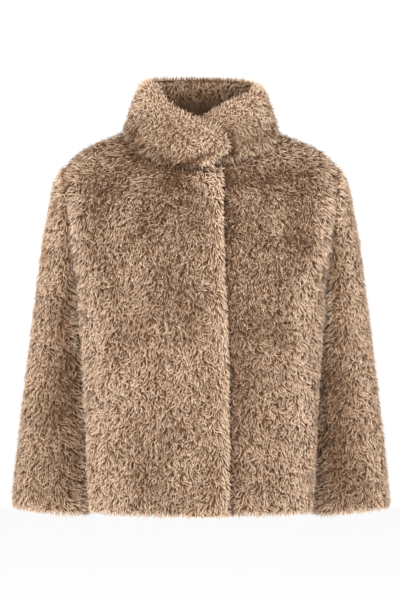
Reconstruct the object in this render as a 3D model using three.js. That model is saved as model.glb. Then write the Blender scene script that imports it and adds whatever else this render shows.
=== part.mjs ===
import * as THREE from 'three'

// A short coat of long curly pile, filled out and hollow, with no wearer in it.
// Millimetres. +Z is up and the front faces -Y, so the wearer's right side is at -X.
// The origin is the middle of the neck, level with the tops of the shoulders.
// Every outer face lies where the tips of the pile end.

// Driving dimensions
const WALL = 14
const SEAM_GAP = 0.3
const SEAM_NIP = 2.5
const BLUNT_EDGE = 0.35
const EDGE_ROUND = 14

const HEM_Z = -607
const CHEST_Z = -240
const CHEST_ROW = 0.6
const BOXY = 2.8

const NECK_HALF_WIDTH = 126
const NECK_FRONT = 104
const NECK_BACK = 92
const NECK_SIDE_Z = 9
const NECK_FRONT_SLOPE = 0.66
const NECK_BACK_SLOPE = 0.12
const SHOULDER_CROWN = { x: 188, z: 0 }
const SHOULDER_TIP = { x: 219, z: -44 }
const UNDERARM_X = 200
const ARMHOLE_HALF_DEPTH = 75
const BULGE_BELOW_ARMHOLE = 0.25

const RIGHT_EDGE_TOP = 33
const RIGHT_EDGE_HEM = 44
const LEFT_EDGE = -20
const LAP_LIFT = 5
const LAP_DIP = 9.6
const LAP_WALL = 13
const UNDERLAP_WALL = 10

const SLEEVE_CLEARANCE = 3
const ARM_Y = 22
const ARM_SPREAD = 52

const COLLAR_WALL = 24
const COLLAR_LAP_WALL = 19
const COLLAR_LAP_LIFT = 8
const COLLAR_LAP_DIP = -12
const COLLAR_CORNER_LIFT = 27

const LINING_WALL = 2
const LINING_TOP = 46
const LINING_BOTTOM = 4
const LINING_HALF_ANGLE = 50

// Body sections by height: the half width, how far the arm presses the side in, and the depths
const BODY = [
  { z: HEM_Z, halfWidth: 187, press: 15, front: 122, back: 120 },
  { z: -575, halfWidth: 192.5, press: 24, front: 124, back: 122 },
  { z: -510, halfWidth: 196, press: 30, front: 123, back: 121 },
  { z: -429, halfWidth: 200, press: 32, front: 121, back: 119 },
  { z: -347, halfWidth: 204, press: 30, front: 119, back: 117 },
  { z: -300, halfWidth: 206.5, press: 25, front: 118, back: 116 },
  { z: CHEST_Z, halfWidth: 206, press: 7.2, front: 118, back: 116 }
]

// Sleeve sections from armhole to cuff: the outer and the inner point, half the depth, and its middle
const SLEEVE = [
  { at: 0, outerX: SHOULDER_TIP.x, outerZ: SHOULDER_TIP.z, innerX: 200, innerZ: CHEST_Z, depth: 75, y: 0 },
  { at: 0.06, outerX: 230, outerZ: -55, innerX: 201, innerZ: -246, depth: 76, y: 2 },
  { at: 0.13, outerX: 240.5, outerZ: -78, innerX: 200, innerZ: -251, depth: 77, y: 5 },
  { at: 0.21, outerX: 247, outerZ: -110, innerX: 198, innerZ: -257, depth: 77, y: 9 },
  { at: 0.32, outerX: 258, outerZ: -158, innerX: 194, innerZ: -266, depth: 76, y: 14 },
  { at: 0.44, outerX: 267, outerZ: -225, innerX: 188, innerZ: -290, depth: 74, y: 19 },
  { at: 0.58, outerX: 279, outerZ: -312, innerX: 180, innerZ: -350, depth: 71, y: 23 },
  { at: 0.74, outerX: 293, outerZ: -425, innerX: 174, innerZ: -450, depth: 67, y: 24 },
  { at: 0.88, outerX: 305, outerZ: -525, innerX: 175, innerZ: -545, depth: 63, y: 22 },
  { at: 1, outerX: 312, outerZ: -603, innerX: 182, innerZ: -617, depth: 60, y: 18 }
]

// Height of the collar's upper edge round the neck: 90 is the back, 0 the wearer's left, 180 the right.
// It starts at the left end, which is tucked under, and ends with the right end, which laps over it.
const COLLAR_TOP = [
  { angle: -104, z: 14 },
  { angle: -90, z: 26 },
  { angle: -60, z: 48 },
  { angle: -30, z: 65 },
  { angle: 0, z: 84 },
  { angle: 45, z: 98 },
  { angle: 90, z: 103 },
  { angle: 135, z: 100 },
  { angle: 180, z: 92 },
  { angle: 205, z: 78 },
  { angle: 222, z: 56 },
  { angle: 240, z: 43 },
  { angle: 262, z: 27 },
  { angle: 279, z: 13 },
  { angle: 285, z: 5 },
  { angle: 291, z: -10 }
]

// Soft troughs in the cloth: where each one runs, how wide it is and how deep
const FRONT_FOLDS = [
  { x: -160, top: -70, bottom: -230, width: 20, depth: 6 },
  { x: 150, top: -60, bottom: -215, width: 20, depth: 6 },
  { x: -98, top: -150, bottom: -420, width: 26, depth: 4 },
  { x: 118, top: -260, bottom: -560, width: 28, depth: 4 },
  { x: -140, top: -400, bottom: -620, width: 24, depth: 4 }
]
const BACK_FOLDS = [
  { x: -152, top: -70, bottom: -250, width: 22, depth: 6 },
  { x: 158, top: -60, bottom: -230, width: 20, depth: 6 },
  { x: -60, top: -250, bottom: -620, width: 30, depth: 4 },
  { x: 74, top: -200, bottom: -560, width: 28, depth: 4 }
]

// Small helpers
const mix = (a, b, t) => a + (b - a) * t
const point = (x, y, z) => new THREE.Vector3(x, y, z)
const smooth = (from, to, value) => THREE.MathUtils.smoothstep(value, from, to)
const radians = THREE.MathUtils.degToRad

// A smooth curve through the rows of a table, read in one named column
function readTable (table, key, column, at) {
  const last = table.length - 1
  let row = 0
  while (row < last - 1 && at > table[row + 1][key]) row += 1
  const slope = (index) => {
    const before = table[Math.max(index - 1, 0)]
    const after = table[Math.min(index + 1, last)]
    return (after[column] - before[column]) / (after[key] - before[key])
  }
  const start = table[row]
  const end = table[row + 1]
  const span = end[key] - start[key]
  const t = THREE.MathUtils.clamp((at - start[key]) / span, 0, 1)
  const rise = t * t * (3 - 2 * t)
  const leave = (t * t * t - 2 * t * t + t) * span * slope(row)
  const arrive = (t * t * t - t * t) * span * slope(row + 1)
  return mix(start[column], end[column], rise) + leave + arrive
}

// How much a free edge thins the wall at a distance from it
function edgeThickness (distance) {
  const inward = 1 - Math.min(distance / EDGE_ROUND, 1)
  return mix(BLUNT_EDGE, 1, Math.sqrt(1 - inward * inward))
}

// A closed wall between an outer and an inner grid of points, open or joined into a tube
function wallGeometry (outer, inner, tube) {
  const rows = outer.length
  const columns = outer[0].length
  const points = [...outer.flat(), ...inner.flat()]
  const indices = []
  const quad = (a, b, c, d) => indices.push(a, b, c, a, c, d)
  const outside = (row, column) => row * columns + column % columns
  const inside = (row, column) => rows * columns + outside(row, column)
  const steps = tube ? columns : columns - 1
  for (let row = 0; row < rows - 1; row += 1) {
    for (let column = 0; column < steps; column += 1) {
      const next = column + 1
      quad(outside(row, column), outside(row, next), outside(row + 1, next), outside(row + 1, column))
      quad(inside(row, column), inside(row + 1, column), inside(row + 1, next), inside(row, next))
    }
  }
  for (let column = 0; column < steps; column += 1) {
    const next = column + 1
    const top = rows - 1
    quad(outside(0, next), outside(0, column), inside(0, column), inside(0, next))
    quad(outside(top, column), outside(top, next), inside(top, next), inside(top, column))
  }
  if (!tube) {
    const end = columns - 1
    for (let row = 0; row < rows - 1; row += 1) {
      quad(outside(row, 0), outside(row + 1, 0), inside(row + 1, 0), inside(row, 0))
      quad(outside(row + 1, end), outside(row, end), inside(row, end), inside(row + 1, end))
    }
  }
  if (volumeOf(points, indices) < 0) indices.reverse()
  const geometry = new THREE.BufferGeometry()
  geometry.setAttribute('position', new THREE.Float32BufferAttribute(points.flatMap((p) => [p.x, p.y, p.z]), 3))
  geometry.setIndex(indices)
  geometry.computeVertexNormals()
  return geometry
}

function volumeOf (points, indices) {
  let volume = 0
  for (let i = 0; i < indices.length; i += 3) {
    const [a, b, c] = [points[indices[i]], points[indices[i + 1]], points[indices[i + 2]]]
    volume += a.dot(b.clone().cross(c))
  }
  return volume
}

// Body section

// The flat plane of the armhole, from the tip of the shoulder to the underarm
const armholeX = (z) => mix(UNDERARM_X, SHOULDER_TIP.x, (z - CHEST_Z) / (SHOULDER_TIP.z - CHEST_Z))

// How far out the side of the body lies at a depth and a height below the armhole
function bodySide (y, z) {
  const depth = readTable(BODY, 'z', y < 0 ? 'front' : 'back', z)
  const across = Math.pow(Math.max(1 - Math.pow(Math.min(Math.abs(y) / depth, 1), BOXY), 0), 1 / BOXY)
  const press = readTable(BODY, 'z', 'press', z) * Math.exp(-Math.pow((y - ARM_Y) / ARM_SPREAD, 2))
  const side = readTable(BODY, 'z', 'halfWidth', z) * across - press * across
  return Math.min(side, armholeX(z) + (CHEST_Z - z) * BULGE_BELOW_ARMHOLE)
}

// One quarter of the body's section, by the share of its length from the middle to the side
function sectionPoint (z, facing, share) {
  const depth = readTable(BODY, 'z', facing < 0 ? 'front' : 'back', z)
  const steps = 48
  const points = []
  for (let step = 0; step <= steps; step += 1) {
    const angle = (step / steps) * Math.PI / 2
    const y = facing * depth * Math.pow(Math.cos(angle), 2 / BOXY)
    points.push(point(step ? bodySide(y, z) : 0, step < steps ? y : 0, z))
  }
  const lengths = [0]
  for (let step = 1; step <= steps; step += 1) {
    lengths.push(lengths[step - 1] + points[step].distanceTo(points[step - 1]))
  }
  const wanted = share * lengths[steps]
  let step = 1
  while (step < steps && lengths[step] < wanted) step += 1
  const part = (wanted - lengths[step - 1]) / (lengths[step] - lengths[step - 1])
  return points[step - 1].clone().lerp(points[step], part)
}

// Neck, shoulder and armhole lines, on the wearer's left; the right is their mirror

const neckSlope = (facing) => (facing < 0 ? NECK_FRONT_SLOPE : NECK_BACK_SLOPE)
const neckZ = (y) => NECK_SIDE_Z + neckSlope(y) * y

function neckPoint (facing, angle) {
  const depth = facing < 0 ? NECK_FRONT : NECK_BACK
  const y = facing * depth * Math.cos(angle)
  return point(NECK_HALF_WIDTH * Math.sin(angle), y, neckZ(y))
}

const shoulderSeam = new THREE.QuadraticBezierCurve3(
  point(NECK_HALF_WIDTH, 0, NECK_SIDE_Z),
  point(SHOULDER_CROWN.x, 0, SHOULDER_CROWN.z),
  point(SHOULDER_TIP.x, 0, SHOULDER_TIP.z)
)

const shoulderTip = point(SHOULDER_TIP.x, 0, SHOULDER_TIP.z)
const underarm = point(UNDERARM_X, 0, CHEST_Z)
const armholeMiddle = shoulderTip.clone().add(underarm).multiplyScalar(0.5)
const armholeUp = shoulderTip.clone().sub(armholeMiddle)
const armholeAway = point(armholeUp.z, 0, -armholeUp.x).normalize()

function armholePoint (angle) {
  const forward = point(0, -ARMHOLE_HALF_DEPTH * Math.cos(angle), 0)
  return armholeMiddle.clone().addScaledVector(armholeUp, Math.sin(angle)).add(forward)
}

function armholeOutward (angle) {
  const up = armholeUp.clone().normalize().multiplyScalar(Math.sin(angle) / armholeUp.length())
  return up.add(point(0, -Math.cos(angle) / ARMHOLE_HALF_DEPTH, 0)).normalize()
}

const middleLines = {
  front: new THREE.QuadraticBezierCurve3(
    sectionPoint(CHEST_Z, -1, 0), point(0, -123, -140), neckPoint(-1, 0)),
  back: new THREE.QuadraticBezierCurve3(
    sectionPoint(CHEST_Z, 1, 0), point(0, 128, -80), neckPoint(1, 0))
}

// The upper body between its four border lines: chest, neck and shoulder, middle, and armhole

function upperBorder (facing, u) {
  if (u <= 0.5) return neckPoint(facing, u * Math.PI)
  return shoulderSeam.getPoint(u * 2 - 1)
}

function sideBorder (facing, t) {
  const border = armholePoint((t - 0.5) * Math.PI)
  border.y *= -facing
  return border
}

function upperBody (facing, u, t) {
  const middle = facing < 0 ? middleLines.front : middleLines.back
  const along = sectionPoint(CHEST_Z, facing, u).multiplyScalar(1 - t).addScaledVector(upperBorder(facing, u), t)
  const across = middle.getPoint(t).multiplyScalar(1 - u).addScaledVector(sideBorder(facing, t), u)
  const corners = sectionPoint(CHEST_Z, facing, 0).multiplyScalar((1 - u) * (1 - t))
  corners.addScaledVector(underarm, u * (1 - t))
  corners.addScaledVector(neckPoint(facing, 0), (1 - u) * t)
  corners.addScaledVector(shoulderTip, u * t)
  return along.add(across).sub(corners)
}

// The body's outer face: across from -1 at the wearer's right side to 1 at the left, up from hem to top
function bodyPoint (facing, across, up) {
  const u = Math.abs(across)
  const found = up < CHEST_ROW
    ? sectionPoint(mix(HEM_Z, CHEST_Z, up / CHEST_ROW), facing, u)
    : upperBody(facing, u, (up - CHEST_ROW) / (1 - CHEST_ROW))
  if (across < 0) found.x *= -1
  return found
}

// The direction through the wall: square to the face, and in the plane of each seam along it
function throughWall (facing, across, up) {
  const u = Math.abs(across)
  const hand = Math.sign(across) || 1
  let direction
  if (up === 1 && u <= 0.5) {
    const angle = u * Math.PI
    const depth = facing < 0 ? NECK_FRONT : NECK_BACK
    const y = facing * Math.cos(angle) / depth
    direction = point(Math.sin(angle) / NECK_HALF_WIDTH, y, neckSlope(facing) * y)
  } else if (up === 1) {
    const along = shoulderSeam.getTangent(u * 2 - 1)
    direction = u === 1 ? armholeUp.clone() : point(-along.z, 0, along.x)
  } else if (u === 1 && up >= CHEST_ROW) {
    direction = armholeOutward(((up - CHEST_ROW) / (1 - CHEST_ROW) - 0.5) * Math.PI)
    direction.y *= -facing
  } else if (u === 1) {
    direction = point(1, 0, 0)
  }
  if (direction) {
    direction.x *= hand
    return direction.normalize()
  }
  const step = 0.004
  const alongRow = bodyPoint(facing, across + step, up).sub(bodyPoint(facing, across - step, up))
  const alongColumn = bodyPoint(facing, across, up + step).sub(bodyPoint(facing, across, Math.max(up - step, 0)))
  return alongRow.cross(alongColumn).multiplyScalar(-facing).normalize()
}

function foldDepth (folds, x, z) {
  let depth = 0
  for (const fold of folds) {
    const window = smooth(fold.bottom, fold.bottom + 50, z) * (1 - smooth(fold.top - 50, fold.top, z))
    depth += fold.depth * window * Math.exp(-Math.pow((x - fold.x) / fold.width, 2))
  }
  return depth
}

// Panels

function levels (from, to, count) {
  return Array.from({ length: count + 1 }, (_, index) => mix(from, to, index / count))
}

// Rows of a body panel: close together over the rounded hem, and one at the chest line
function bodyRows () {
  const height = CHEST_Z - HEM_Z
  const rounded = [0, 3, 8, 15].map((distance) => distance / height * CHEST_ROW)
  return [...rounded, ...levels(38 / height * CHEST_ROW, CHEST_ROW, 11), ...levels(CHEST_ROW, 1, 9).slice(1)]
}

// One body panel; the layer gives the height of its outer face and its wall at each place
function bodyPanel (facing, columnsAt, layer, folds) {
  const outer = []
  const inner = []
  for (const up of bodyRows()) {
    const outerRow = []
    const innerRow = []
    for (const { across, fromEdge } of columnsAt(up)) {
      const base = bodyPoint(facing, across, up)
      const direction = throughWall(facing, across, up)
      const { lift, wall } = layer(base.x)
      const onSeam = Math.abs(across) === 1 || up === 1
      const hemDistance = up < CHEST_ROW ? base.z - HEM_Z : Infinity
      const thin = edgeThickness(Math.min(fromEdge, hemDistance))
      const top = lift - foldDepth(folds, base.x, base.z) - (onSeam ? SEAM_NIP : 0)
      const middle = lift - wall / 2
      const back = seamSetback(facing, across, up)
      outerRow.push(base.clone().addScaledVector(direction, mix(middle, top, thin)).add(back))
      innerRow.push(base.clone().addScaledVector(direction, middle - thin * wall / 2).add(back))
    }
    outer.push(outerRow)
    inner.push(innerRow)
  }
  return wallGeometry(outer, inner, false)
}

// The seam gap, away from the piece that is sewn on there, and half of it where both pieces make way
function seamSetback (facing, across, up) {
  const back = point(0, 0, 0)
  const u = Math.abs(across)
  if (u === 1 && up >= CHEST_ROW) {
    back.addScaledVector(armholeAway, -SEAM_GAP)
    back.x *= Math.sign(across)
  }
  if (up === 1 && u <= 0.5) back.z -= SEAM_GAP
  if ((u === 1 && up <= CHEST_ROW) || (up === 1 && u >= 0.5)) back.y += facing * SEAM_GAP / 2
  return back
}

// Where across the body a front's free edge lies in this row
function edgeAcross (up, edgeX) {
  let low = -0.5
  let high = 0.5
  for (let step = 0; step < 30; step += 1) {
    const middle = (low + high) / 2
    if (bodyPoint(-1, middle, up).x < edgeX) low = middle
    else high = middle
  }
  return (low + high) / 2
}

// Columns of a front panel from its side seam to its free edge, close together at the rounded edge
function frontColumns (hand, edgeX) {
  return (up) => {
    const edge = edgeAcross(up, edgeX(bodyPoint(-1, 0, up).z))
    const perStep = bodyPoint(-1, 0.1, up).x * 10
    const side = levels(hand, hand * 0.5, 6)
    const nearEdge = [24, 14, 7, 3, 0]
    const lastPlain = edge + hand * 34 / perStep
    const middle = levels(hand * 0.5, lastPlain, 5).slice(1)
    const columns = [...side, ...middle].map((across) => ({ across, fromEdge: Infinity }))
    return [...columns, ...nearEdge.map((fromEdge) => ({ across: edge + hand * fromEdge / perStep, fromEdge }))]
  }
}

const rightEdgeX = (z) => mix(RIGHT_EDGE_HEM, RIGHT_EDGE_TOP, smooth(-420, -60, z))
const leftEdgeX = () => LEFT_EDGE

// The right front rides up where it laps over the left front, which lies flatter under it
function rightLayer (x) {
  const lap = smooth(-60, -16, x)
  return { lift: LAP_LIFT * lap, wall: mix(WALL, LAP_WALL, lap) }
}

function leftLayer (x) {
  const lap = 1 - smooth(50, 92, x)
  return { lift: -LAP_DIP * lap, wall: mix(WALL, UNDERLAP_WALL, lap) }
}

const plainLayer = () => ({ lift: 0, wall: WALL })
const backColumns = () => levels(-1, 1, 24).map((across) => ({ across, fromEdge: Infinity }))

// Sleeve

// The sleeve's outer face at a share of its length and an angle round it, on the wearer's left
function sleevePoint (at, angle) {
  const read = (column) => readTable(SLEEVE, 'at', column, at)
  const outerPoint = point(read('outerX'), 0, read('outerZ'))
  const innerPoint = at === 0 ? underarm.clone() : point(read('innerX'), 0, read('innerZ'))
  const middle = outerPoint.clone().add(innerPoint).multiplyScalar(0.5)
  const half = outerPoint.sub(middle)
  const found = middle.addScaledVector(half, Math.sin(angle))
  found.y = read('y') - read('depth') * Math.cos(angle)
  return clearOfBody(found, at)
}

// Keeps a point of the sleeve just outside the side of the body
function clearOfBody (found, at) {
  if (at === 0) return found
  const clearance = SLEEVE_CLEARANCE * smooth(0, 0.08, at)
  const side = found.z < CHEST_Z ? bodySide(found.y, found.z) : armholeX(found.z)
  found.x = Math.max(found.x, side + clearance)
  return found
}

function sleeveDirection (at, angle) {
  if (at === 0) return armholeOutward(angle)
  const step = 0.01
  const round = sleevePoint(at, angle + step).sub(sleevePoint(at, angle - step))
  const along = sleevePoint(Math.min(at + step, 1), angle).sub(sleevePoint(Math.max(at - step, 0.001), angle))
  return along.cross(round).normalize()
}

const SLEEVE_FOLDS = [
  { at: 0.5, angle: -70, width: 34, depth: 4 },
  { at: 0.66, angle: -20, width: 30, depth: 3.5 },
  { at: 0.42, angle: 200, width: 36, depth: 4 },
  { at: 0.8, angle: 150, width: 30, depth: 3 }
]

function sleeveFold (at, angle) {
  let depth = 0
  for (const fold of SLEEVE_FOLDS) {
    const round = Math.sin((angle - radians(fold.angle)) / 2) * 2
    depth += fold.depth * Math.exp(-Math.pow((at - fold.at) * 8, 2) - Math.pow(round / radians(fold.width), 2))
  }
  return depth
}

function sleeveGeometry (hand) {
  const round = 24
  const length = 560
  const ats = [...levels(0, 0.44, 9), ...levels(0.5, 0.94, 8), ...[16, 8, 3, 0].map((d) => 1 - d / length)]
  const outer = []
  const inner = []
  for (const at of ats) {
    const outerRow = []
    const innerRow = []
    for (let step = 0; step < round; step += 1) {
      const angle = step / round * Math.PI * 2
      const base = sleevePoint(at, angle)
      const direction = sleeveDirection(at, angle)
      const thin = edgeThickness((1 - at) * length)
      const top = -sleeveFold(at, angle) - (at === 0 ? SEAM_NIP : 0)
      const outerPoint = base.clone().addScaledVector(direction, mix(-WALL / 2, top, thin))
      const innerPoint = base.clone().addScaledVector(direction, -WALL / 2 - thin * WALL / 2)
      for (const found of [outerPoint, innerPoint]) found.x *= hand
      outerRow.push(outerPoint)
      innerRow.push(innerPoint)
    }
    outer.push(outerRow)
    inner.push(innerRow)
  }
  return wallGeometry(outer, inner, true)
}

// Collar

// The collar leans inward as it rises, less at the back. Height is measured from the neckline below it.
function collarPlace (angle, height, offset) {
  const turn = radians(angle)
  const back = Math.max(Math.sin(turn), 0)
  const lean = (0.12 * height + 0.0027 * height * height) * mix(1, 0.55, back)
  const depth = Math.sin(turn) < 0 ? NECK_FRONT : NECK_BACK
  const foot = offset - COLLAR_WALL / 2
  const x = (NECK_HALF_WIDTH + foot - lean) * Math.cos(turn)
  const y = (depth + foot - lean) * Math.sin(turn)
  return point(x, y, neckZ((depth + foot) * Math.sin(turn)) + height)
}

function collarGeometry () {
  const first = COLLAR_TOP[0].angle
  const last = COLLAR_TOP[COLLAR_TOP.length - 1].angle
  const endSteps = (from, to) => [0, 1.5, 4, 8].map((step) => from + Math.sign(to - from) * step)
  const angles = [
    ...endSteps(first, 0), ...levels(first + 14, 0, 9), ...levels(0, 180, 18).slice(1),
    ...levels(180, last - 14, 9).slice(1), ...endSteps(last, 0).reverse()
  ]
  const outer = []
  const inner = []
  for (const angle of angles) {
    const lapOver = smooth(225, 258, angle)
    const lapUnder = 1 - smooth(-62, -30, angle)
    const wall = mix(COLLAR_WALL, COLLAR_LAP_WALL, Math.max(lapOver, lapUnder))
    const offset = COLLAR_LAP_LIFT * lapOver + COLLAR_LAP_DIP * lapUnder
    const foot = COLLAR_CORNER_LIFT * smooth(266, last, angle) + SEAM_GAP
    const ground = collarPlace(angle, 0, offset)
    const top = readTable(COLLAR_TOP, 'angle', 'z', angle) - ground.z
    const endDistance = Math.min(angle - first, last - angle) * 1.7
    const heights = [0, 0.12, 0.3, 0.5, 0.7, 0.84, 0.93, 0.98, 1]
    const outerRow = []
    const innerRow = []
    for (const share of heights) {
      const height = mix(foot, top, share)
      const fromTop = (top - foot) * (1 - share)
      const footNip = mix(0.6, 1, smooth(0, 16, height - SEAM_GAP))
      const thin = edgeThickness(Math.min(fromTop, endDistance)) * footNip
      const half = wall / 2 * thin
      outerRow.push(collarPlace(angle, height, offset + half))
      innerRow.push(collarPlace(angle, height, offset - half))
    }
    outer.push(outerRow)
    inner.push(innerRow)
  }
  return wallGeometry(outer, inner, false)
}

// The smooth band inside the back of the collar
function liningGeometry () {
  const outer = []
  const inner = []
  for (const angle of levels(90 - LINING_HALF_ANGLE, 90 + LINING_HALF_ANGLE, 10)) {
    const heights = levels(LINING_BOTTOM, LINING_TOP, 4)
    const outward = -COLLAR_WALL / 2 - SEAM_GAP * 2
    outer.push(heights.map((height) => collarPlace(angle, height, outward)))
    inner.push(heights.map((height) => collarPlace(angle, height, outward - LINING_WALL)))
  }
  return wallGeometry(outer, inner, false)
}

// Materials and the coat itself

const pile = (color) => new THREE.MeshStandardMaterial({ color, roughness: 0.95, metalness: 0 })
const satin = new THREE.MeshStandardMaterial({ color: 0x4a3427, roughness: 0.4, metalness: 0 })

const coat = new THREE.Group()

function add (name, geometry, material) {
  const mesh = new THREE.Mesh(geometry, material)
  mesh.name = name
  coat.add(mesh)
}

add('front_right', bodyPanel(-1, frontColumns(-1, rightEdgeX), rightLayer, FRONT_FOLDS), pile(0xa3876f))
add('front_left', bodyPanel(-1, frontColumns(1, leftEdgeX), leftLayer, FRONT_FOLDS), pile(0xa1856d))
add('back', bodyPanel(1, backColumns, plainLayer, BACK_FOLDS), pile(0xa0846c))
add('sleeve_right', sleeveGeometry(-1), pile(0x9f836b))
add('sleeve_left', sleeveGeometry(1), pile(0x9d8169))
add('collar', collarGeometry(), pile(0xae9078))
add('neck_lining', liningGeometry(), satin)

export default coat
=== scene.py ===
# %% [markdown]
# # A short faux fur coat
#
# The coat is cut from faux fur: a knitted backing cloth with long curly pile on its outer side.
# The solid model gives each panel as one thick wall that reaches to the tips of the pile. Here each
# wall becomes what it is on the real coat: cloth with a dense ground at the inner side of the wall,
# and many thousands of small curled strands that grow out of it and end where the wall ends.

import math

import bpy
import numpy as np
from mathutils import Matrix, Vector
from mathutils.bvhtree import BVHTree
from mathutils.kdtree import KDTree


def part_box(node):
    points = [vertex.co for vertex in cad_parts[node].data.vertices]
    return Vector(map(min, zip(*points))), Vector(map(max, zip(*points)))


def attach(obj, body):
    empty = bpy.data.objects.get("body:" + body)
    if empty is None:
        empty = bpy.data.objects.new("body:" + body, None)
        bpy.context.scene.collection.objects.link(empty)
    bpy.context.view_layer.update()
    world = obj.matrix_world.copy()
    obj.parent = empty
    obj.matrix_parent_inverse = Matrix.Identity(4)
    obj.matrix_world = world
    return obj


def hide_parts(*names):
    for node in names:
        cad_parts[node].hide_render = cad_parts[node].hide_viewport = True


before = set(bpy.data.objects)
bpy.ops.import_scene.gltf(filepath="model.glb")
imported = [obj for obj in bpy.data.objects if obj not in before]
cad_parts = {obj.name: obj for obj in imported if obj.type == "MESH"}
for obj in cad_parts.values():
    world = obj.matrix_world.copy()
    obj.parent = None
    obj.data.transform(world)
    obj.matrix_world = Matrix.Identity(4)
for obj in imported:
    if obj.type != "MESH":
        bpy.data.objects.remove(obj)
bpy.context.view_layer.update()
bpy.ops.object.select_all(action="DESELECT")
print("nodes:", ", ".join(sorted(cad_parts)))

# %% [markdown]
# ## The camera
#
# A catalogue picture is taken from far away with a long lens, so that nothing is distorted. The
# camera stands straight in front of the coat, a little over half way down it. One pixel of the
# 400 by 600 picture covers 1.63 mm at the middle of the coat.

# %% Camera
MM = 0.001
PIXEL = 1.63 * MM
PICTURE_HEIGHT = 600 * PIXEL
SENSOR_HEIGHT = 24
CAMERA_DISTANCE = 3.2
CAMERA_X = -1.6 * MM
CAMERA_Z = -266 * MM

bpy.ops.object.camera_add(location=(CAMERA_X, -CAMERA_DISTANCE, CAMERA_Z), rotation=(math.pi / 2, 0, 0))
camera = bpy.context.object
camera.data.sensor_fit = "VERTICAL"
camera.data.sensor_height = SENSOR_HEIGHT
camera.data.lens = SENSOR_HEIGHT * CAMERA_DISTANCE / PICTURE_HEIGHT
camera.data.clip_end = 50
bpy.context.scene.camera = camera
print("lens:", round(camera.data.lens, 1), "mm")

# %% [markdown]
# ## Floor and light
#
# The studio is white all round: a pale floor that rises into a backdrop behind the coat, a white
# sky that fills the shadows, and a large soft lamp above and to the left of the camera. The pile
# needs one lamp that is stronger than the rest, because its curls only show by their small shadows.

# %% Floor and backdrop
FLOOR_Z = -1.35
FLOOR_SIZE = 14
BACKDROP_HEIGHT = 8


def paint(name, colour, roughness):
    """A plain material, for what is not part of the coat."""
    material = bpy.data.materials.new(name)
    material.use_nodes = True
    shader = material.node_tree.nodes["Principled BSDF"]
    shader.inputs["Base Color"].default_value = (*colour, 1)
    shader.inputs["Roughness"].default_value = roughness
    return material


bpy.ops.mesh.primitive_plane_add(size=FLOOR_SIZE, location=(0, 0, FLOOR_Z))
floor = bpy.context.object
floor.name = "studio_floor"
bpy.ops.object.mode_set(mode="EDIT")
bpy.ops.mesh.select_mode(type="EDGE")
bpy.ops.mesh.select_all(action="DESELECT")
bpy.ops.object.mode_set(mode="OBJECT")
for edge in floor.data.edges:
    ends = [floor.data.vertices[i].co.y for i in edge.vertices]
    edge.select = min(ends) > 0.49 * FLOOR_SIZE
bpy.ops.object.mode_set(mode="EDIT")
bpy.ops.mesh.extrude_region_move(TRANSFORM_OT_translate={"value": (0, 0, BACKDROP_HEIGHT)})
bpy.ops.mesh.select_all(action="SELECT")
bpy.ops.mesh.normals_make_consistent(inside=False)
bpy.ops.object.mode_set(mode="OBJECT")
bpy.ops.object.transform_apply(location=True)
floor.data.materials.append(paint("pale_floor", (0.97, 0.97, 0.97), 0.9))
print("floor", FLOOR_SIZE, "m wide, backdrop", BACKDROP_HEIGHT, "m high")

# %% Light
KEY_POWER = 109
FILL_POWER = 31
SKY_STRENGTH = 0.9


def soft_lamp(name, place, target, size, power):
    """A square lamp that faces a point."""
    bpy.ops.object.light_add(type="AREA", location=place)
    lamp = bpy.context.object
    lamp.name = name
    lamp.data.size = size
    lamp.data.energy = power
    lamp.rotation_euler = (Vector(target) - Vector(place)).to_track_quat("-Z", "Y").to_euler()
    print(name, "of", power, "W")


middle = (0, 0, -0.27)
soft_lamp("key_lamp", (-1.15, -2.5, 1.7), middle, 0.6, KEY_POWER)
soft_lamp("fill_lamp", (2.2, -1.9, 0.3), middle, 1.6, FILL_POWER)

sky = bpy.data.worlds.new("white_studio")
sky.use_nodes = True
sky.node_tree.nodes["Background"].inputs["Color"].default_value = (1, 1, 1, 1)
sky.node_tree.nodes["Background"].inputs["Strength"].default_value = SKY_STRENGTH
bpy.context.scene.world = sky
bpy.context.scene.view_settings.view_transform = "Standard"

# %% [markdown]
# ## Writing shader maths as sums
#
# A material is a net of nodes, which is hard to read as code. The small class below wraps an output
# of a node, so that `streaks * 0.6 + clumps * 0.4` adds the Math nodes that work it out. Any other
# node comes from one method, which takes the type of node, its settings and the values or links of
# its sockets.

# %% A material as expressions


class Value:
    """The output of a shader node, ready for arithmetic."""

    def __init__(self, tree, socket):
        self.tree = tree
        self.socket = socket

    def calculate(self, operation, first, second):
        """A Math node on two values, each a number or the output of a node."""
        node = self.tree.nodes.new("ShaderNodeMath")
        node.operation = operation
        for slot, value in zip(node.inputs, (first, second)):
            if isinstance(value, Value):
                self.tree.links.new(value.socket, slot)
            else:
                slot.default_value = value
        return Value(self.tree, node.outputs[0])

    def __add__(self, other):
        return self.calculate("ADD", self, other)

    def __radd__(self, other):
        return self.calculate("ADD", other, self)

    def __mul__(self, other):
        return self.calculate("MULTIPLY", self, other)

    def __rmul__(self, other):
        return self.calculate("MULTIPLY", other, self)


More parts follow.
